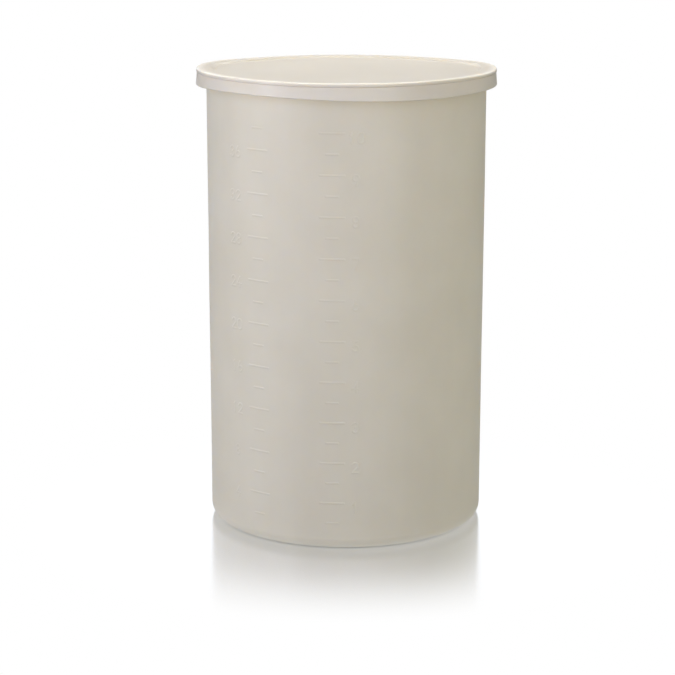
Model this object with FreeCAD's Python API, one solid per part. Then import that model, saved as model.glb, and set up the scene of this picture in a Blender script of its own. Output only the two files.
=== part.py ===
import FreeCAD, Part
import math
import os

# Plastic fermenting bucket: a tall straight tub of natural polyethylene and its slip-on lid.
# Millimetres. +Z is up along the axis, the origin is the centre of the base on the surface that it
# stands on, and the raised marks face -Y.

V = FreeCAD.Vector
ORIGIN = V(0, 0, 0)
UP = V(0, 0, 1)

# Tub
WALL = 4.0
BASE_RADIUS = 162.9
RIM_RADIUS = 164.0
RIM_HEIGHT = 537.4
FLOOR_TOP = 8.9
CORNER_RADIUS = 14.0
RECESS_RADIUS = 140.0
RECESS_DEPTH = 3.4
FLANGE_RADIUS = 170.6
FLANGE_THICKNESS = 5.5
FLANGE_FILLET = 3.0
FLANGE_ROUND = 1.5

# Lid
LID_THICKNESS = 3.0
LID_HEIGHT = RIM_HEIGHT + LID_THICKNESS
BEAD_RADIUS = 175.9
BEAD_HEIGHT = 4.4
BEAD_ROUND = 1.6
NECK_RADIUS = 175.2
SKIRT_RADIUS = 176.4
SKIRT_BOTTOM = 521.0
SKIRT_ROUND = 1.3
BAND_WIDTH = 18.0
PANEL_DROP = 2.0
STEP_RUN = 1.5
BEND_ROUND = 0.8

# Raised marks and numerals
PROUD = 0.4
ROOT = 1.0
MARK_THICKNESS = 1.4
SHORT_MARK = 15.0
LONG_MARK = 29.0
STROKE = 1.4
DIGIT_WIDTH = 8.0
DIGIT_HEIGHT = 13.0
DIGIT_PITCH = 10.6

# Each scale: the volume of one step in cubic millimetres, the number of steps, the number that one
# step counts for, and where its marks and its numerals stand, in degrees round the wall from the
# front. Every second mark is long and has a numeral.
GALLON_SCALE = (3.785412e6 / 2, 20, 0.5, -5.7, 3.6)
LITRE_SCALE = (2.0e6, 19, 2, -38.0, -50.5)


def lathe(corners):
    """The solid that a closed half-section makes about the axis. (r, z) is a sharp corner, and
    (r, z, radius) is one rounded to that radius."""
    points = [V(corner[0], 0, corner[1]) for corner in corners]
    edges = []
    stops = []
    for i, corner in enumerate(corners):
        here = points[i]
        if len(corner) == 2:
            stops.append((here, here))
            continue
        back = (points[i - 1] - here).normalize()
        onward = (points[(i + 1) % len(points)] - here).normalize()
        half_angle = back.getAngle(onward) / 2
        run = corner[2] / math.tan(half_angle)
        inward = (back + onward).normalize()
        middle = here + inward * (corner[2] / math.sin(half_angle) - corner[2])
        stops.append((here + back * run, here + onward * run))
        edges.append(Part.Arc(stops[i][0], middle, stops[i][1]).toShape())
    for (_, leave), (arrive, _) in zip(stops, stops[1:] + stops[:1]):
        edges.append(Part.LineSegment(leave, arrive).toShape())
    section = Part.Face(Part.Wire(Part.__sortEdges__(edges)))
    return section.revolve(ORIGIN, UP, 360)


def wall_radius(z):
    """The outside of the tub's wall, which opens very slightly upwards."""
    return BASE_RADIUS + (RIM_RADIUS - BASE_RADIUS) * z / RIM_HEIGHT


def fill_height(volume):
    """The height above the base at which the tub holds this volume: the hollow is a frustum."""
    draft = (RIM_RADIUS - BASE_RADIUS) / RIM_HEIGHT
    floor_radius = wall_radius(FLOOR_TOP) - WALL
    surface_radius = (floor_radius ** 3 + 3 * draft * volume / math.pi) ** (1 / 3)
    return FLOOR_TOP + (surface_radius - floor_radius) / draft


def make_plain_tub():
    """Wall and floor, a shallow recess under the base, and an outward flange round the rim."""
    flange_bottom = RIM_HEIGHT - FLANGE_THICKNESS
    return lathe([
        (0, RECESS_DEPTH),
        (RECESS_RADIUS, RECESS_DEPTH),
        (RECESS_RADIUS + RECESS_DEPTH, 0),
        (BASE_RADIUS, 0, CORNER_RADIUS),
        (wall_radius(flange_bottom), flange_bottom, FLANGE_FILLET),
        (FLANGE_RADIUS, flange_bottom, FLANGE_ROUND),
        (FLANGE_RADIUS, RIM_HEIGHT, FLANGE_ROUND),
        (RIM_RADIUS - WALL, RIM_HEIGHT, FLANGE_ROUND),
        (wall_radius(FLOOR_TOP) - WALL, FLOOR_TOP, CORNER_RADIUS - WALL),
        (0, FLOOR_TOP),
    ])


def make_mark(z, length, degrees):
    """One raised mark, a short rib that follows the wall."""
    sweep = math.degrees(length / wall_radius(z))
    inner = wall_radius(z) - ROOT
    outer = wall_radius(z) + PROUD
    low = z - MARK_THICKNESS / 2
    high = z + MARK_THICKNESS / 2
    corners = [V(inner, 0, low), V(outer, 0, low), V(outer, 0, high), V(inner, 0, high)]
    section = Part.Face(Part.makePolygon(corners + corners[:1]))
    rib = section.revolve(ORIGIN, UP, sweep)
    rib.rotate(ORIGIN, UP, degrees - 90 - sweep / 2)
    return rib


def raised(face):
    """A flat outline in the XZ plane, made as deep as a digit is."""
    return face.extrude(V(0, ROOT + PROUD, 0))


def bar(x0, z0, x1, z1):
    """A straight stroke of a digit, with round ends."""
    start = V(x0, 0, z0)
    end = V(x1, 0, z1)
    side = V(z0 - z1, 0, x1 - x0).normalize() * (STROKE / 2)
    corners = [start + side, end + side, end - side, start - side]
    straight = raised(Part.Face(Part.makePolygon(corners + corners[:1])))
    discs = [raised(Part.Face(Part.Wire(Part.makeCircle(STROKE / 2, end_point, V(0, 1, 0)))))
             for end_point in (start, end)]
    return straight.fuse(discs)


def round_point(x, z, radius, degrees):
    """A point on a circle in the XZ plane, anticlockwise from the right."""
    angle = math.radians(degrees)
    return x + radius * math.cos(angle), z + radius * math.sin(angle)


def bow(x, z, radius, first, last):
    """A round stroke of a digit, between two angles."""
    def at(distance, degrees):
        across, up = round_point(x, z, distance, degrees)
        return V(across, 0, up)

    inner = radius - STROKE / 2
    outer = radius + STROKE / 2
    middle = (first + last) / 2
    edges = [
        Part.Arc(at(outer, first), at(outer, middle), at(outer, last)).toShape(),
        Part.LineSegment(at(outer, last), at(inner, last)).toShape(),
        Part.Arc(at(inner, last), at(inner, middle), at(inner, first)).toShape(),
        Part.LineSegment(at(inner, first), at(outer, first)).toShape(),
    ]
    return raised(Part.Face(Part.Wire(edges)))


def loop(x, z, radius):
    return bow(x, z, radius, 0, 180).fuse(bow(x, z, radius, 180, 360))


def make_digits():
    """The ten digits as solids that face -Y, centred on x = 0 and standing on z = 0."""
    wide = (DIGIT_WIDTH - STROKE) / 2
    tall = DIGIT_HEIGHT - STROKE
    small = tall / 4
    neck_of_2 = round_point(0, tall - wide, wide, -30)
    shoulder_of_5 = round_point(0, wide, wide, 140)
    tail_of_6 = round_point(0, wide, wide, 160)
    tail_of_9 = round_point(0, tall - wide, wide, -20)
    strokes = {
        0: [bow(0, tall - wide, wide, 0, 180), bow(0, wide, wide, 180, 360),
            bar(-wide, wide, -wide, tall - wide), bar(wide, wide, wide, tall - wide)],
        1: [bar(-wide * 0.5, tall * 0.8, 0, tall), bar(0, tall, 0, 0)],
        2: [bow(0, tall - wide, wide, -30, 165), bar(*neck_of_2, -wide, 0), bar(-wide, 0, wide, 0)],
        3: [bow(0, small * 3, small, -90, 155), bow(0, small, small, -155, 90)],
        4: [bar(wide * 0.4, 0, wide * 0.4, tall), bar(wide * 0.4, tall, -wide, tall * 0.3),
            bar(-wide, tall * 0.3, wide, tall * 0.3)],
        5: [bar(wide * 0.8, tall, -wide * 0.7, tall), bar(-wide * 0.7, tall, *shoulder_of_5),
            bow(0, wide, wide, -150, 140)],
        6: [loop(0, wide, wide), bar(*tail_of_6, -wide * 0.15, tall)],
        7: [bar(-wide, tall, wide, tall), bar(wide, tall, -wide * 0.3, 0)],
        8: [loop(0, small, small), loop(0, small * 3, small)],
        9: [loop(0, tall - wide, wide), bar(*tail_of_9, wide * 0.15, 0)],
    }
    return {digit: parts[0].fuse(parts[1:]).removeSplitter() for digit, parts in strokes.items()}


def make_numeral(number, top, degrees, digits):
    """The digits of a number side by side round the wall, with their tops at one height."""
    placed = []
    text = str(number)
    for place, character in enumerate(text):
        shape = digits[int(character)].copy()
        shape.translate(V(0, -(wall_radius(top) + PROUD), top - DIGIT_HEIGHT + STROKE / 2))
        across = (place - (len(text) - 1) / 2) * DIGIT_PITCH
        shape.rotate(ORIGIN, UP, degrees + math.degrees(across / wall_radius(top)))
        placed.append(shape)
    return placed


def make_scale(step_volume, steps, unit, mark_degrees, numeral_degrees, digits):
    """A column of marks, each at the height where the tub holds its volume, and its numerals."""
    column = []
    for step in range(1, steps + 1):
        z = fill_height(step * step_volume)
        if step % 2:
            column.append(make_mark(z, SHORT_MARK, mark_degrees))
        else:
            column.append(make_mark(z, LONG_MARK, mark_degrees))
            column += make_numeral(round(step * unit), z + STROKE, numeral_degrees, digits)
    return column


def make_tub():
    digits = make_digits()
    return make_plain_tub().fuse(make_scale(*GALLON_SCALE, digits) + make_scale(*LITRE_SCALE, digits))


def make_lid():
    """A flat band that rests on the tub's rim, a panel that steps down into the tub's mouth, and a
    skirt that flares slightly downwards from a bead. The skirt hangs clear of the flange."""
    band_inside = BEAD_RADIUS - BAND_WIDTH
    panel_top = LID_HEIGHT - PANEL_DROP
    neck_height = LID_HEIGHT - BEAD_HEIGHT
    undercut = BEAD_RADIUS - NECK_RADIUS
    return lathe([
        (0, panel_top - LID_THICKNESS),
        (band_inside - 2 * STEP_RUN, panel_top - LID_THICKNESS, BEND_ROUND),
        (band_inside - STEP_RUN, RIM_HEIGHT, BEND_ROUND),
        (BEAD_RADIUS - LID_THICKNESS, RIM_HEIGHT, BEND_ROUND),
        (SKIRT_RADIUS - LID_THICKNESS, SKIRT_BOTTOM, SKIRT_ROUND),
        (SKIRT_RADIUS, SKIRT_BOTTOM, SKIRT_ROUND),
        (NECK_RADIUS, neck_height, BEND_ROUND),
        (BEAD_RADIUS, neck_height + undercut, BEND_ROUND),
        (BEAD_RADIUS, LID_HEIGHT, BEAD_ROUND),
        (band_inside, LID_HEIGHT, BEND_ROUND),
        (band_inside - STEP_RUN, panel_top, BEND_ROUND),
        (0, panel_top),
    ])


os.makedirs("parts", exist_ok=True)
for name, shape in (("tub", make_tub()), ("lid", make_lid())):
    print(name, len(shape.Solids), "solid, valid", shape.isValid(), "faces", len(shape.Faces),
          "volume", round(shape.Volume))
    shape.exportStep("parts/" + name + ".step")
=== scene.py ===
import math

import bpy
import numpy as np
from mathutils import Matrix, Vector


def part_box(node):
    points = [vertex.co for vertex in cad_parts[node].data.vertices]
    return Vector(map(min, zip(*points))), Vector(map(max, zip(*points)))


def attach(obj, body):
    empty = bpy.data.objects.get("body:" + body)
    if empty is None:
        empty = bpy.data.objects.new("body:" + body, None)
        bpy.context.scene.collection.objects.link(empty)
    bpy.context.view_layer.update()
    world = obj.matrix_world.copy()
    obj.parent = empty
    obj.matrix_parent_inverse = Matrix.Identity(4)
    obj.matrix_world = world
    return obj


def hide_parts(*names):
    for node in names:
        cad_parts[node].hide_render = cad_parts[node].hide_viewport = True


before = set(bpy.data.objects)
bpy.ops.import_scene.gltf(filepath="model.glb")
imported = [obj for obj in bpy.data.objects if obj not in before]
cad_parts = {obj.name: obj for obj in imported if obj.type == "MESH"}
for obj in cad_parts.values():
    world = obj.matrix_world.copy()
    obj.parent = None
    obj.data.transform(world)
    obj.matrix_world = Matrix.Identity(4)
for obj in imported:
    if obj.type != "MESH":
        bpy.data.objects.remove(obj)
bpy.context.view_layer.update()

# Everything is in metres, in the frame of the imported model: +Z up along the axis, the front is -Y.
MM = 0.001
TUB_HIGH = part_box("tub")[1]
LID_LOW, LID_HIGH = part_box("lid")

# Tub
RIM_HEIGHT = TUB_HIGH.z
FLANGE_RADIUS = TUB_HIGH.x
RIM_INSET = 6.6 * MM
FOOT_INSET = 7.7 * MM
RIM_RADIUS = FLANGE_RADIUS - RIM_INSET
BASE_RADIUS = FLANGE_RADIUS - FOOT_INSET
DRAFT = (RIM_RADIUS - BASE_RADIUS) / RIM_HEIGHT
WALL = 4.0 * MM
FLOOR_TOP = 8.9 * MM
CORNER_RADIUS = 14.0 * MM
RECESS_RADIUS = 140.0 * MM
RECESS_DEPTH = 3.4 * MM
FLANGE_THICKNESS = 5.5 * MM
FLANGE_FILLET = 3.0 * MM
FLANGE_ROUND = 1.5 * MM
SOFT_CORNER = 1.0 * MM

# Lid
LID_HEIGHT = LID_HIGH.z
SKIRT_BOTTOM = LID_LOW.z
LID_THICKNESS = LID_HEIGHT - RIM_HEIGHT
SKIRT_RADIUS = LID_HIGH.x
SKIRT_ROUND = 1.3 * MM
BEAD_INSET = 0.5 * MM
BEAD_RADIUS = SKIRT_RADIUS - BEAD_INSET
BEAD_HEIGHT = 4.4 * MM
BEAD_ROUND = 2.0 * MM
NECK_HEIGHT = LID_HEIGHT - BEAD_HEIGHT
UNDERCUT = 0.7 * MM
NECK_RADIUS = BEAD_RADIUS - UNDERCUT
BAND_WIDTH = 18.0 * MM
BAND_INSIDE = BEAD_RADIUS - BAND_WIDTH
PANEL_DROP = 2.0 * MM
PANEL_DOME = 1.9 * MM
STEP_RUN = 4.0 * MM
BEND_ROUND = 0.8 * MM
STEP_ROUND = 2.5 * MM

# How the loose lid has settled: the drop of its front and back, and what moves its skirt's free edge
FRONT_DROP = 1.2 * MM
BACK_DROP = 2.7 * MM
EDGE_LIFT = 0.6 * MM
EDGE_TILT = 1.1 * MM
EDGE_WAVE = 1.5 * MM
EDGE_WAVE_TURN = math.radians(129)
EDGE_SAG = 1.3 * MM

# Raised marks and numerals. A mark is a soft swell: flat as far as its crest from the middle line,
# and back in the wall's face at its foot.
MARK_RISE = 0.25 * MM
MARK_CREST = 0.3 * MM
MARK_FOOT = 1.5 * MM
SHORT_MARK = 15.0 * MM
LONG_MARK = 29.0 * MM
STROKE = 1.4 * MM
DIGIT_WIDTH = 8.0 * MM
DIGIT_HEIGHT = 13.0 * MM
DIGIT_PITCH = 10.6 * MM
GALLON = 3.785412e-3
LITRE = 1.0e-3
# The marks stand where the tub holds their volumes. A scale is one step's volume, the number of
# steps, what one step counts for, and the azimuths of the marks and of the numerals.
GALLON_SCALE = (GALLON / 2, 20, 0.5, math.radians(-5.7), math.radians(3.6))
LITRE_SCALE = (2 * LITRE, 19, 2, math.radians(-38.0), math.radians(-50.5))

# Mesh
TUB_SEGMENTS = 160
LID_SEGMENTS = 224
WALL_ROWS = 80
# A full cell of the wall's grid, in units of the smallest cell
FULL_CELL = 2 ** 4
# How far a cell reaches from its centre, with a little over, as a share of its size
CELL_REACH = 0.85
STROKE_REACH = 12.0 * MM
SLOPE_STEP = 0.05 * MM
ON_AXIS = 0.001 * MM
ARC_STEP = math.radians(12)
LONGEST_STEP = 9.0 * MM

# Camera, from where the whole object fills most of a square frame
LENS_MM = 115.7
SENSOR_WIDTH_MM = 36.0
CAMERA_PLACE = (-0.0101, -2.5474, 0.7977)
CAMERA_PITCH = math.radians(12.89)
CAMERA_ROLL = math.radians(0.08)

# Plastic. Each piece drifts between its two colours. Its stretch is how much finer its flow marks
# are along X, Y and Z, and its ripple is how deep they are.
TUB_DARK = (0.620, 0.592, 0.515, 1)
TUB_LIGHT = (0.662, 0.638, 0.565, 1)
TUB_STRETCH = (1.0, 1.0, 0.12)
TUB_RIPPLE = 0.25 * MM
TUB_ROUGHNESS = 0.43
LID_DARK = (0.625, 0.598, 0.545, 1)
LID_LIGHT = (0.665, 0.640, 0.590, 1)
LID_STRETCH = (0.5, 0.5, 0.8)
LID_RIPPLE = 0.02 * MM
LID_ROUGHNESS = 0.30
PLASTIC_IOR = 1.52
SCATTER_SHARES = (1.0, 0.86, 0.62)
SCATTER_DEPTH = 4.0 * MM
# How fine the flow marks, the clouds and the grain are, and what share of the drift is which
FLOW_FINENESS = 9.0
CLOUD_FINENESS = 14.0
GRAIN_FINENESS = 900.0
FLOW_SHARE = 0.55
CLOUD_SHARE = 0.45
DARK_DRIFT = 0.35
LIGHT_DRIFT = 0.65
SHEEN_DRIFT = 0.05
GRAIN_DEPTH = 0.05 * MM
# The lid's flat sheet, inside its bead: the darker, yellower colour of its painted shade, and how wide
# the change to it is
SHEET_PAINTED_SHADE = (0.73, 0.71, 0.68, 1)
SHEET_MARGIN = 12.0 * MM
# Share and tint of the studio's light that comes through the lid's thin plastic
LIGHT_THROUGH = 0.85
THROUGH_TINT = (1.0, 0.96, 0.88, 1)

# Floor. The ranges of the mirror sheen and of the glow are distances outside the base.
FLOOR_REACH = 30.0
FLOOR_BOUNCE = 0.3
MIRROR_ROUGHNESS = 0.16
MIRROR_TINT = (0.95, 0.965, 1.0, 1)
MIRROR_SHARE = 0.85
MIRROR_FADE = (20 * MM, 245 * MM)
LOW_ANGLE = (0.48, 0.65)
FLOOR_GLOW = 0.5
GLOW_RISE = (-14 * MM, -8 * MM)
GLOW_FADE = (-6 * MM, 25 * MM)

# Surroundings, as light. A range is where one part of the direction takes a level from none to full.
BACKDROP_RISE = (0.16, 0.26)
BACKDROP_FALL = (0.8, 0.4)
BACKDROP_SIDE = (-0.1, 0.4)
BACKDROP_LEVEL = 0.80
BACKDROP_FOOT = 0.21
FRONT_LEVEL = 0.26
LEFT_LEVEL = 0.33
RIGHT_LEVEL = 0.27
TOP_LEVEL = 0.05
EVEN_LEVEL = 0.09

# Light colours
NEUTRAL = (0.91, 0.90, 1.0)
WARM = (1.0, 0.96, 0.87)
AMBER = (1.0, 0.89, 0.31)


# Outlines -----------------------------------------------------------------------------------------

def rounded(corners):
    """A half-section as rows of (radius, height, normal's radius part, normal's height part). Each
    corner is (r, z) where the outline starts or ends, or (r, z, rounding). Going along it, the
    plastic is on the left."""
    rows = []

    def add(point, direction):
        rows.append((point[0], point[1], direction[1], -direction[0]))

    places = [np.array(corner[:2], float) for corner in corners]
    leave = places[0]
    for i in range(1, len(corners)):
        onto = places[i] - places[i - 1]
        onto = onto / np.linalg.norm(onto)
        if i + 1 == len(corners):
            arrive = places[i]
        else:
            away = places[i + 1] - places[i]
            away = away / np.linalg.norm(away)
            turn = math.atan2(onto[0] * away[1] - onto[1] * away[0], onto @ away)
            run = corners[i][2] * math.tan(abs(turn) / 2)
            arrive = places[i] - onto * run
        steps = max(1, math.ceil(np.linalg.norm(arrive - leave) / LONGEST_STEP))
        first = 0 if i == 1 else 1
        for step in range(first, steps + 1):
            add(leave + (arrive - leave) * step / steps, onto)
        if i + 1 == len(corners):
            break
        steps = max(2, math.ceil(abs(turn) / ARC_STEP))
        side = math.copysign(1.0, turn) * np.array([-onto[1], onto[0]])
        centre = arrive + side * corners[i][2]
        for step in range(1, steps + 1):
            angle = turn * step / steps
            cos, sin = math.cos(angle), math.sin(angle)
            spoke = arrive - centre
            spoke = np.array([spoke[0] * cos - spoke[1] * sin, spoke[0] * sin + spoke[1] * cos])
            heading = np.array([onto[0] * cos - onto[1] * sin, onto[0] * sin + onto[1] * cos])
            add(centre + spoke, heading)
        leave = centre + spoke
    return rows


class Skin:
    """A closed surface that is gathered as points, their exact normals, and faces."""

    def __init__(self, segments):
        self.segments = segments
        self.points = []
        self.normals = []
        self.faces = []

    def add(self, azimuth, radius, z, normal):
        """A point at an azimuth from the front. The normal is (outward, along the azimuth, up)."""
        sin, cos = math.sin(azimuth), math.cos(azimuth)
        self.points.append((radius * sin, -radius * cos, z))
        self.normals.append((normal[0] * sin + normal[1] * cos,
                             -normal[0] * cos + normal[1] * sin, normal[2]))
        return len(self.points) - 1

    def ring(self, row):
        radius, z, outward, up = row
        if radius < ON_AXIS:
            return [self.add(0, 0, z, (0, 0, up))]
        return [self.add(2 * math.pi * k / self.segments, radius, z, (outward, 0, up))
                for k in range(self.segments)]

    def bridge(self, first, second):
        for k in range(self.segments):
            onward = (k + 1) % self.segments
            if len(first) == 1:
                self.faces.append((first[0], second[onward], second[k]))
            elif len(second) == 1:
                self.faces.append((first[k], first[onward], second[0]))
            else:
                self.faces.append((first[k], first[onward], second[onward], second[k]))

    def lathe(self, rows):
        rings = [self.ring(row) for row in rows]
        for first, second in zip(rings, rings[1:]):
            self.bridge(first, second)
        return rings

    def make(self, name, shift=None):
        """The object. shift moves the points, and is small enough to leave the normals as they are."""
        points = np.array(self.points)
        if shift is not None:
            points = shift(points)
        mesh = bpy.data.meshes.new(name)
        mesh.from_pydata(points.tolist(), [], self.faces)
        mesh.shade_smooth()
        mesh.normals_split_custom_set_from_vertices(self.normals)
        mesh.update()
        piece = bpy.data.objects.new(name, mesh)
        bpy.context.scene.collection.objects.link(piece)
        return piece


# Raised marks -------------------------------------------------------------------------------------

def wall_radius(z):
    return BASE_RADIUS + DRAFT * z


def fill_height(volume):
    """The height at which the tub holds this volume: its hollow is a frustum."""
    floor_radius = wall_radius(FLOOR_TOP) - WALL
    surface_radius = (floor_radius ** 3 + 3 * DRAFT * volume / math.pi) ** (1 / 3)
    return FLOOR_TOP + (surface_radius - floor_radius) / DRAFT


def unrolled(azimuth, z):
    """How far round the wall a place is from the front, to the right."""
    wrapped = (azimuth + math.pi) % (2 * math.pi) - math.pi
    return wrapped * wall_radius(z)


class Bar:
    """A straight stroke on the unrolled wall."""

    def __init__(self, x0, z0, x1, z1):
        self.start = np.array([x0, z0])
        self.along = np.array([x1, z1]) - self.start

    def moved(self, x, z):
        start = self.start + (x, z)
        return Bar(*start, *(start + self.along))

    def box(self):
        ends = np.array([self.start, self.start + self.along])
        return ends.min(0), ends.max(0)

    def distance(self, x, z):
        across, up = x - self.start[0], z - self.start[1]
        share = (across * self.along[0] + up * self.along[1]) / (self.along @ self.along)
        share = np.clip(share, 0, 1)
        return np.hypot(across - share * self.along[0], up - share * self.along[1])


class Bow:
    """A round stroke on the unrolled wall, between two angles in degrees anticlockwise."""

    def __init__(self, x, z, radius, first, last):
        self.x, self.z, self.radius, self.first, self.last = x, z, radius, first, last

    def moved(self, x, z):
        return Bow(self.x + x, self.z + z, self.radius, self.first, self.last)

    def box(self):
        reach = np.array([self.radius, self.radius])
        centre = np.array([self.x, self.z])
        return centre - reach, centre + reach

    def point(self, degrees):
        angle = math.radians(degrees)
        return self.x + self.radius * math.cos(angle), self.z + self.radius * math.sin(angle)

    def distance(self, x, z):
        across, up = x - self.x, z - self.z
        turn = (np.degrees(np.arctan2(up, across)) - self.first) % 360
        ends = (self.point(self.first), self.point(self.last))
        from_ends = [np.hypot(x - end[0], z - end[1]) for end in ends]
        from_arc = np.abs(np.hypot(across, up) - self.radius)
        return np.where(turn <= self.last - self.first, from_arc, np.minimum(*from_ends))


def digit_strokes():
    """The strokes of the ten digits, centred on x = 0 and standing on z = 0."""
    wide = (DIGIT_WIDTH - STROKE) / 2
    tall = DIGIT_HEIGHT - STROKE
    small = tall / 4
    low = Bow(0, wide, wide, 0, 360)
    high = Bow(0, tall - wide, wide, 0, 360)
    return {
        0: [Bow(0, tall - wide, wide, 0, 180), Bow(0, wide, wide, 180, 360),
            Bar(-wide, wide, -wide, tall - wide), Bar(wide, wide, wide, tall - wide)],
        1: [Bar(-wide * 0.5, tall * 0.8, 0, tall), Bar(0, tall, 0, 0)],
        2: [Bow(0, tall - wide, wide, -30, 165), Bar(*high.point(-30), -wide, 0),
            Bar(-wide, 0, wide, 0)],
        3: [Bow(0, small * 3, small, -90, 155), Bow(0, small, small, -155, 90)],
        4: [Bar(wide * 0.4, 0, wide * 0.4, tall), Bar(wide * 0.4, tall, -wide, tall * 0.3),
            Bar(-wide, tall * 0.3, wide, tall * 0.3)],
        5: [Bar(wide * 0.8, tall, -wide * 0.7, tall), Bar(-wide * 0.7, tall, *low.point(140)),
            Bow(0, wide, wide, -150, 140)],
        6: [low, Bar(*low.point(160), -wide * 0.15, tall)],
        7: [Bar(-wide, tall, wide, tall), Bar(wide, tall, -wide * 0.3, 0)],
        8: [Bow(0, small, small, 0, 360), Bow(0, small * 3, small, 0, 360)],
        9: [high, Bar(*high.point(-20), wide * 0.15, 0)],
    }


def numeral(number, azimuth, top, digits):
    """The strokes of a number, with the tops of its digits at one height."""
    text = str(number)
    strokes = []
    for place, character in enumerate(text):
        x = azimuth * wall_radius(top) + (place - (len(text) - 1) / 2) * DIGIT_PITCH
        z = top - DIGIT_HEIGHT + STROKE / 2
        strokes += [stroke.moved(x, z) for stroke in digits[int(character)]]
    return strokes


def scale(step_volume, steps, unit, mark_azimuth, numeral_azimuth, digits):
    """The strokes of a scale. Every second mark is long and has a numeral."""
    strokes = []
    for step in range(1, steps + 1):
        z = fill_height(step * step_volume)
        length = SHORT_MARK if step % 2 else LONG_MARK
        x = mark_azimuth * wall_radius(z)
        half = (length - STROKE) / 2
        strokes.append(Bar(x - half, z, x + half, z))
        if step % 2 == 0:
            strokes += numeral(round(step * unit), numeral_azimuth, z + STROKE, digits)
    return strokes


def nearest_stroke(strokes, x, z):
    """How far each point of the unrolled wall is from the nearest stroke, up to STROKE_REACH."""
    nearest = np.full(x.shape, STROKE_REACH)
    for stroke in strokes:
        low, high = stroke.box()
        beside = (x > low[0] - STROKE_REACH) & (x < high[0] + STROKE_REACH)
        level = (z > low[1] - STROKE_REACH) & (z < high[1] + STROKE_REACH)
        near = np.flatnonzero(beside & level)
        nearest[near] = np.minimum(nearest[near], stroke.distance(x[near], z[near]))
    return nearest


def wall_waves(azimuth, z):
    """The slight unevenness of a large moulded wall."""
    return MM * (0.10 * np.sin(2 * azimuth + 9 * z + 0.7) + 0.06 * np.sin(5 * azimuth - 23 * z + 2.1)
                 + 0.03 * np.sin(11 * azimuth + 31 * z + 4.0) + 0.04 * np.sin(47 * z + 1.3))


def wall_height(strokes, azimuth, z):
    """How far the wall's face stands out from its plain cone."""
    away = nearest_stroke(strokes, unrolled(azimuth, z), z)
    fall = np.clip((away - MARK_CREST) / (MARK_FOOT - MARK_CREST), 0, 1)
    return MARK_RISE * (0.5 + 0.5 * np.cos(math.pi * fall)) + wall_waves(azimuth, z)


# The tub ------------------------------------------------------------------------------------------

def wall_cells(strokes, low, high):
    """The wall's grid: square cells that are cut in four, again and again, near a raised stroke.
    A cell is (column, row, size) in units of the smallest cell."""
    columns, rows = np.meshgrid(np.arange(TUB_SEGMENTS), np.arange(WALL_ROWS), indexing="ij")
    cells = np.stack([columns.ravel(), rows.ravel()], 1) * FULL_CELL
    pitch = (high - low) / (WALL_ROWS * FULL_CELL)
    kept = []
    size = FULL_CELL
    while size > 1:
        centres = cells + size / 2
        azimuth = centres[:, 0] / (TUB_SEGMENTS * FULL_CELL) * 2 * math.pi
        z = low + centres[:, 1] * pitch
        away = nearest_stroke(strokes, unrolled(azimuth, z), z)
        cut = away < MARK_FOOT + CELL_REACH * size * pitch
        kept += [(*cell, size) for cell in cells[~cut].tolist()]
        size //= 2
        corners = [(0, 0), (size, 0), (0, size), (size, size)]
        cells = np.concatenate([cells[cut] + corner for corner in corners])
    return kept + [(*cell, 1) for cell in cells.tolist()]


def add_wall(skin, strokes, bottom_ring, top_ring, low, high):
    """The outer wall between two rings. A cell with finer neighbours is a fan about its centre."""
    around = TUB_SEGMENTS * FULL_CELL
    top = WALL_ROWS * FULL_CELL
    cells = wall_cells(strokes, low, high)
    corners = {(column % around, row)
               for c, r, size in cells for column in (c, c + size) for row in (r, r + size)}
    index = {(k * FULL_CELL, 0): bottom_ring[k] for k in range(TUB_SEGMENTS)}
    index.update({(k * FULL_CELL, top): top_ring[k] for k in range(TUB_SEGMENTS)})

    outlines = []
    centres = []
    for column, row, size in cells:
        steps = range(size)
        outline = ([(column + s, row) for s in steps] + [(column + size, row + s) for s in steps]
                   + [(column + size - s, row + size) for s in steps]
                   + [(column, row + size - s) for s in steps])
        outline = [(c % around, r) for c, r in outline if (c % around, r) in corners]
        outlines.append(outline)
        if len(outline) > 4:
            centres.append((column + size / 2, row + size / 2))

    places = sorted(corners - set(index)) + centres
    grid = np.array(places, float)
    azimuth = grid[:, 0] / around * 2 * math.pi
    z = low + grid[:, 1] / top * (high - low)
    height = wall_height(strokes, azimuth, z)

    def slope(turn, climb):
        """How steep the face is, from a small step to each side."""
        ahead = wall_height(strokes, azimuth + turn, z + climb)
        behind = wall_height(strokes, azimuth - turn, z - climb)
        return (ahead - behind) / (2 * SLOPE_STEP)

    slope_round = slope(SLOPE_STEP / BASE_RADIUS, 0)
    slope_up = slope(0, SLOPE_STEP) + DRAFT
    length = np.sqrt(1 + slope_round ** 2 + slope_up ** 2)
    for k, place in enumerate(places):
        normal = (1 / length[k], -slope_round[k] / length[k], -slope_up[k] / length[k])
        index[place] = skin.add(azimuth[k], wall_radius(z[k]) + height[k], z[k], normal)

    for (column, row, size), outline in zip(cells, outlines):
        loop = [index[corner] for corner in outline]
        if len(loop) == 4:
            skin.faces.append(tuple(loop))
            continue
        centre = index[(column + size / 2, row + size / 2)]
        skin.faces += [(centre, loop[k], loop[(k + 1) % len(loop)]) for k in range(len(loop))]


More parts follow.
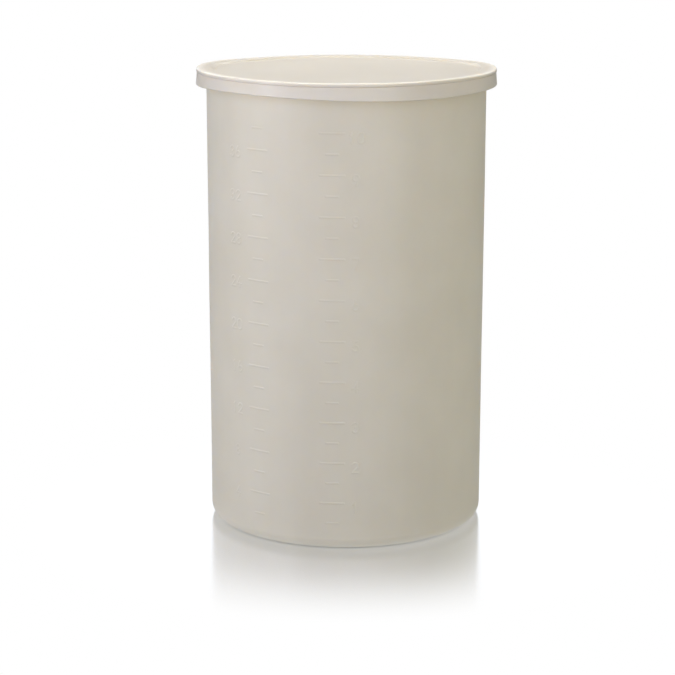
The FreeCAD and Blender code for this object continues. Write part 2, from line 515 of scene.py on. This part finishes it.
def make_tub():
    digits = digit_strokes()
    strokes = scale(*GALLON_SCALE, digits) + scale(*LITRE_SCALE, digits)
    flange_bottom = RIM_HEIGHT - FLANGE_THICKNESS
    low = CORNER_RADIUS
    high = flange_bottom - FLANGE_FILLET
    base = rounded([
        (0, RECESS_DEPTH),
        (RECESS_RADIUS, RECESS_DEPTH, SOFT_CORNER),
        (RECESS_RADIUS + RECESS_DEPTH, 0, SOFT_CORNER),
        (BASE_RADIUS, 0, CORNER_RADIUS),
        (wall_radius(low), low),
    ])
    rim = rounded([
        (wall_radius(high), high),
        (wall_radius(flange_bottom), flange_bottom, FLANGE_FILLET),
        (FLANGE_RADIUS, flange_bottom, FLANGE_ROUND),
        (FLANGE_RADIUS, RIM_HEIGHT, FLANGE_ROUND),
        (RIM_RADIUS - WALL, RIM_HEIGHT, FLANGE_ROUND),
        (wall_radius(FLOOR_TOP) - WALL, FLOOR_TOP, CORNER_RADIUS - WALL),
        (0, FLOOR_TOP),
    ])
    skin = Skin(TUB_SEGMENTS)
    base_rings = skin.lathe(base)
    rim_rings = skin.lathe(rim)
    add_wall(skin, strokes, base_rings[-1], rim_rings[0], low, high)
    return skin.make("tub_shell")


# The lid ------------------------------------------------------------------------------------------

def ease(value, start, end):
    """0 at start and 1 at end, with a smooth rise between."""
    return 0.5 - 0.5 * np.cos(math.pi * np.clip((value - start) / (end - start), 0, 1))


def settle_lid(points):
    """The loose lid is a little sprung: it rides high at its sides, lower at the front and lowest at
    the back. The free edge of its skirt waves up and down, and its panel is slightly domed. The
    limits that follow are degrees from the front."""
    x, y, z = points.T
    radius = np.hypot(x, y)
    azimuth = np.arctan2(x, -y)
    from_front = np.degrees(np.abs(azimuth))
    drop = FRONT_DROP * ease(from_front, 60, 12) + BACK_DROP * ease(from_front, 95, 145)
    outward = np.clip(radius / BAND_INSIDE, 0, 1) ** 2
    dome = PANEL_DOME * (1 - outward)
    wave = EDGE_LIFT - EDGE_TILT * np.sin(azimuth) - EDGE_SAG * ease(from_front, 10, 60)
    wave = wave + EDGE_WAVE * np.cos(3 * azimuth + EDGE_WAVE_TURN)
    down = np.clip((NECK_HEIGHT - z) / (NECK_HEIGHT - SKIRT_BOTTOM), 0, 1)
    edge = np.where(radius > BEAD_RADIUS - BEAD_HEIGHT, wave * down, 0)
    return np.stack([x, y, z + dome + edge - drop * outward], 1)


def make_lid():
    panel_top = LID_HEIGHT - PANEL_DROP
    section = rounded([
        (0, panel_top - LID_THICKNESS),
        (BAND_INSIDE - 2 * STEP_RUN, panel_top - LID_THICKNESS, STEP_ROUND),
        (BAND_INSIDE - STEP_RUN, RIM_HEIGHT, STEP_ROUND),
        (BEAD_RADIUS - LID_THICKNESS, RIM_HEIGHT, BEND_ROUND),
        (SKIRT_RADIUS - LID_THICKNESS, SKIRT_BOTTOM, SKIRT_ROUND),
        (SKIRT_RADIUS, SKIRT_BOTTOM, SKIRT_ROUND),
        (NECK_RADIUS, NECK_HEIGHT, BEND_ROUND),
        (BEAD_RADIUS, NECK_HEIGHT + UNDERCUT, BEND_ROUND),
        (BEAD_RADIUS, LID_HEIGHT, BEAD_ROUND),
        (BAND_INSIDE, LID_HEIGHT, STEP_ROUND),
        (BAND_INSIDE - STEP_RUN, panel_top, STEP_ROUND),
        (0, panel_top),
    ])
    skin = Skin(LID_SEGMENTS)
    skin.lathe(section)
    return skin.make("lid_cover", settle_lid)


# Materials ----------------------------------------------------------------------------------------

class Nodes:
    """Short calls that add and join shader nodes."""

    def __init__(self, owner):
        owner.use_nodes = True
        self.tree = owner.node_tree
        self.tree.nodes.clear()

    def feed(self, node, inputs):
        """Give each input, by name or number, its plain value or the output that feeds it."""
        for key, value in inputs.items():
            if isinstance(value, bpy.types.NodeSocket):
                self.tree.links.new(value, node.inputs[key])
            else:
                node.inputs[key].default_value = value

    def new(self, kind, inputs=None, **settings):
        node = self.tree.nodes.new(kind)
        for key, value in settings.items():
            setattr(node, key, value)
        self.feed(node, inputs or {})
        return node

    def calculate(self, operation, *values):
        node = self.new("ShaderNodeMath", dict(enumerate(values)), operation=operation)
        return node.outputs["Value"]

    def smooth(self, value, start, end, first=0.0, last=1.0):
        """A smooth change of level from first to last, as the value goes from start to end."""
        node = self.new("ShaderNodeMapRange", {
            "Value": value,
            "From Min": start,
            "From Max": end,
            "To Min": first,
            "To Max": last,
        }, interpolation_type="SMOOTHSTEP")
        return node.outputs["Result"]

    def noise(self, vector, fineness, detail, roughness=0.5):
        node = self.new("ShaderNodeTexNoise", {
            "Vector": vector,
            "Scale": fineness,
            "Detail": detail,
            "Roughness": roughness,
        })
        return node.outputs["Fac"]

    def bump(self, height, strength, distance, normal=None):
        inputs = {"Height": height, "Strength": strength, "Distance": distance}
        if normal is not None:
            inputs["Normal"] = normal
        return self.new("ShaderNodeBump", inputs).outputs["Normal"]

    def mix(self, share, first, second):
        """A blend of two shaders: share is how much of the second."""
        node = self.new("ShaderNodeMixShader", {"Fac": share, 1: first, 2: second})
        return node.outputs["Shader"]


def polyethylene(name, stretch, ripple, roughness, dark, light):
    """Natural polyethylene: milky, faintly warm, a satin skin with fine moulding texture. Returns
    the material, its nodes, the node of its surface, which has no colour yet, and the colour."""
    material = bpy.data.materials.new(name)
    nodes = Nodes(material)
    place = nodes.new("ShaderNodeTexCoord").outputs["Object"]
    flow = nodes.new("ShaderNodeMapping", {"Vector": place, "Scale": stretch}).outputs["Vector"]
    streaks = nodes.noise(flow, FLOW_FINENESS, 4.0, 0.55)
    clouds = nodes.noise(place, CLOUD_FINENESS, 3.0)
    grain = nodes.noise(place, GRAIN_FINENESS, 3.0)
    cloud_part = nodes.calculate("MULTIPLY", clouds, CLOUD_SHARE)
    drift = nodes.calculate("MULTIPLY_ADD", streaks, FLOW_SHARE, cloud_part)

    tint = nodes.new("ShaderNodeValToRGB", {"Fac": drift})
    for element, position, colour in zip(tint.color_ramp.elements, (DARK_DRIFT, LIGHT_DRIFT),
                                         (dark, light)):
        element.position = position
        element.color = colour
    sheen = nodes.new("ShaderNodeMapRange", {
        "Value": drift,
        "To Min": roughness - SHEEN_DRIFT,
        "To Max": roughness + SHEEN_DRIFT,
    })
    fine = nodes.bump(grain, 0.25, GRAIN_DEPTH)
    plastic = nodes.new("ShaderNodeBsdfPrincipled", {
        "IOR": PLASTIC_IOR,
        "Roughness": sheen.outputs["Result"],
        "Subsurface Weight": 1.0,
        "Subsurface Radius": SCATTER_SHARES,
        "Subsurface Scale": SCATTER_DEPTH,
        "Normal": nodes.bump(streaks, 0.5, ripple, fine),
    })
    return material, nodes, plastic, tint.outputs["Color"]


def tub_plastic():
    material, nodes, plastic, colour = polyethylene(
        "tub_polyethylene", TUB_STRETCH, TUB_RIPPLE, TUB_ROUGHNESS, TUB_DARK, TUB_LIGHT)
    nodes.feed(plastic, {"Base Color": colour})
    nodes.new("ShaderNodeOutputMaterial", {"Surface": plastic.outputs["BSDF"]})
    return material


def lid_plastic():
    """The lid is a thin sheet. Some of the studio's light comes through it, to the tub's wall behind
    the skirt and into the dark hollow under the flat top. The flat top inside the bead has painted
    shade: its colour is made darker and yellower."""
    material, nodes, plastic, colour = polyethylene(
        "lid_polyethylene", LID_STRETCH, LID_RIPPLE, LID_ROUGHNESS, LID_DARK, LID_LIGHT)
    place = nodes.new("ShaderNodeTexCoord").outputs["Object"]
    part = nodes.new("ShaderNodeSeparateXYZ", {"Vector": place}).outputs
    level = nodes.new("ShaderNodeCombineXYZ", {"X": part["X"], "Y": part["Y"]}).outputs["Vector"]
    away = nodes.new("ShaderNodeVectorMath", {0: level}, operation="LENGTH").outputs["Value"]
    # Painted shade: inside the bead the flat top's colour is multiplied by a darker, yellower one.
    sheet = nodes.smooth(away, BEAD_RADIUS, BEAD_RADIUS - SHEET_MARGIN)
    shaded = nodes.new("ShaderNodeMix", {
        "Factor": sheet,
        "A": colour,
        "B": SHEET_PAINTED_SHADE,
    }, data_type="RGBA", blend_type="MULTIPLY")
    nodes.feed(plastic, {"Base Color": shaded.outputs["Result"]})

    ray = nodes.new("ShaderNodeLightPath").outputs
    lit = nodes.calculate("MAXIMUM", ray["Is Shadow Ray"], ray["Is Diffuse Ray"])
    through = nodes.calculate("MULTIPLY", lit, LIGHT_THROUGH)
    clear = nodes.new("ShaderNodeBsdfTransparent", {"Color": THROUGH_TINT}).outputs["BSDF"]
    shader = nodes.mix(through, plastic.outputs["BSDF"], clear)
    nodes.new("ShaderNodeOutputMaterial", {"Surface": shader})
    return material


# Studio -------------------------------------------------------------------------------------------

def floor_material():
    """To the camera it is white, with a soft mirror sheen near the object at low angles. As light it
    is matt and dimmer, with a faint glow round the object's foot."""
    material = bpy.data.materials.new("white_floor")
    nodes = Nodes(material)
    place = nodes.new("ShaderNodeTexCoord").outputs["Object"]
    away = nodes.new("ShaderNodeVectorMath", {0: place}, operation="LENGTH").outputs["Value"]

    def ring(limits, first, last):
        """A smooth change from one level to another between two distances outside the base."""
        return nodes.smooth(away, BASE_RADIUS + limits[0], BASE_RADIUS + limits[1], first, last)

    white = nodes.new("ShaderNodeEmission", {"Strength": 1.0})
    mirror = nodes.new("ShaderNodeBsdfGlossy", {"Roughness": MIRROR_ROUGHNESS, "Color": MIRROR_TINT})
    facing = nodes.new("ShaderNodeLayerWeight", {"Blend": 0.5}).outputs["Facing"]
    low_angle = nodes.smooth(facing, *LOW_ANGLE)
    sheen = nodes.calculate("MULTIPLY", ring(MIRROR_FADE, MIRROR_SHARE, 0.0), low_angle)
    shown = nodes.mix(sheen, white.outputs["Emission"], mirror.outputs["BSDF"])

    matt = nodes.new("ShaderNodeBsdfDiffuse", {"Color": (FLOOR_BOUNCE, FLOOR_BOUNCE, FLOOR_BOUNCE, 1)})
    near = nodes.calculate("MULTIPLY", ring(GLOW_RISE, 0.0, FLOOR_GLOW), ring(GLOW_FADE, 1.0, 0.0))
    glow = nodes.new("ShaderNodeEmission", {"Strength": near})
    lit = nodes.new("ShaderNodeAddShader", {0: matt.outputs["BSDF"], 1: glow.outputs["Emission"]})

    ray = nodes.new("ShaderNodeLightPath").outputs
    surface = nodes.mix(ray["Is Camera Ray"], lit.outputs["Shader"], shown)
    nodes.new("ShaderNodeOutputMaterial", {"Surface": surface})
    return material


def make_floor():
    mesh = bpy.data.meshes.new("floor")
    corners = [(x, y, 0) for x, y in (
        (-FLOOR_REACH, -FLOOR_REACH),
        (FLOOR_REACH, -FLOOR_REACH),
        (FLOOR_REACH, FLOOR_REACH),
        (-FLOOR_REACH, FLOOR_REACH),
    )]
    mesh.from_pydata(corners, [], [(0, 1, 2, 3)])
    mesh.materials.append(floor_material())
    floor = bpy.data.objects.new("floor", mesh)
    bpy.context.scene.collection.objects.link(floor)


def make_surroundings():
    """White to the camera. As light it is a white backdrop behind the object, and dimmer elsewhere."""
    world = bpy.data.worlds.new("studio")
    bpy.context.scene.world = world
    nodes = Nodes(world)
    direction = nodes.new("ShaderNodeTexCoord").outputs["Generated"]
    part = nodes.new("ShaderNodeSeparateXYZ", {"Vector": direction}).outputs

    def rise(axis, limits, level=1.0):
        """A smooth rise from 0 to a level, along one axis of the direction."""
        return nodes.smooth(part[axis], *limits, 0.0, level)

    backdrop = nodes.calculate("MULTIPLY", rise("Z", BACKDROP_RISE, BACKDROP_LEVEL),
                               rise("Z", BACKDROP_FALL))
    backdrop = nodes.calculate("ADD", backdrop, BACKDROP_FOOT)
    total = nodes.calculate("MULTIPLY", backdrop, rise("Y", BACKDROP_SIDE))
    front = rise("Y", (0.1, -0.8), FRONT_LEVEL)
    left = rise("X", (0.1, -0.8), LEFT_LEVEL)
    right = rise("X", (-0.1, 0.8), RIGHT_LEVEL)
    top = rise("Z", (0.3, 0.95), TOP_LEVEL)
    for light in (front, left, right, top, EVEN_LEVEL):
        total = nodes.calculate("ADD", total, light)

    ray = nodes.new("ShaderNodeLightPath").outputs
    level = nodes.new("ShaderNodeMix", {0: ray["Is Camera Ray"], 2: total, 3: 1.0}, data_type="FLOAT")
    sky = nodes.new("ShaderNodeBackground", {"Color": (1, 1, 1, 1), "Strength": level.outputs[0]})
    nodes.new("ShaderNodeOutputWorld", {"Surface": sky.outputs["Background"]})


def add_softbox(name, azimuth, distance, z, aim, width, height, watts, colour):
    """A soft light at an azimuth from the front and a distance from the axis, aimed at a height."""
    light = bpy.data.lights.new(name, "AREA")
    light.shape = "RECTANGLE"
    light.size = width
    light.size_y = height
    light.energy = watts
    light.color = colour
    angle = math.radians(azimuth)
    place = Vector((distance * math.sin(angle), -distance * math.cos(angle), z))
    lamp = bpy.data.objects.new(name, light)
    lamp.location = place
    lamp.rotation_euler = (Vector((0, 0, aim)) - place).to_track_quat("-Z", "Y").to_euler()
    lamp.visible_camera = False
    bpy.context.scene.collection.objects.link(lamp)
    return lamp


def make_lights():
    middle = RIM_HEIGHT / 2
    add_softbox("key", -45, 1.7, 1.4, middle, 1.0, 1.0, 6.0, NEUTRAL)
    add_softbox("top_front", -12, 1.7, 1.7, middle, 1.2, 0.8, 5.2, NEUTRAL)
    add_softbox("front", 8, 2.0, 1.3, middle, 0.9, 1.2, 4.6, NEUTRAL)
    add_softbox("low_front", -20, 2.0, 0.65, LID_HEIGHT, 1.4, 0.5, 2.6, NEUTRAL)
    add_softbox("strip", -57, 2.0, 0.85, middle, 0.28, 1.3, 8.2, NEUTRAL)
    add_softbox("left", -85, 2.0, 0.8, middle, 1.0, 1.6, 4.8, WARM)
    add_softbox("right_front", 25, 2.6, 1.0, middle, 1.0, 1.6, 8.8, WARM)
    amber_side = add_softbox("right", 70, 2.2, 0.8, middle, 1.0, 1.6, 5.2, AMBER)
    amber_side.visible_glossy = False
    add_softbox("hair", 180, 0.34, 1.35, LID_HEIGHT, 0.7, 0.3, 8.6, WARM)


def make_camera():
    data = bpy.data.cameras.new("camera")
    data.lens = LENS_MM
    data.sensor_width = SENSOR_WIDTH_MM
    camera = bpy.data.objects.new("camera", data)
    camera.location = CAMERA_PLACE
    camera.rotation_euler = (math.pi / 2 - CAMERA_PITCH, 0, 0)
    camera.rotation_euler.rotate_axis("Z", CAMERA_ROLL)
    bpy.context.scene.collection.objects.link(camera)
    bpy.context.scene.camera = camera


tub = make_tub()
tub.data.materials.append(tub_plastic())
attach(tub, "tub")
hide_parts("tub")

lid = make_lid()
lid.data.materials.append(lid_plastic())
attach(lid, "lid")
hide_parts("lid")

make_floor()
make_surroundings()
make_lights()
make_camera()
bpy.context.scene.view_settings.view_transform = "Standard"
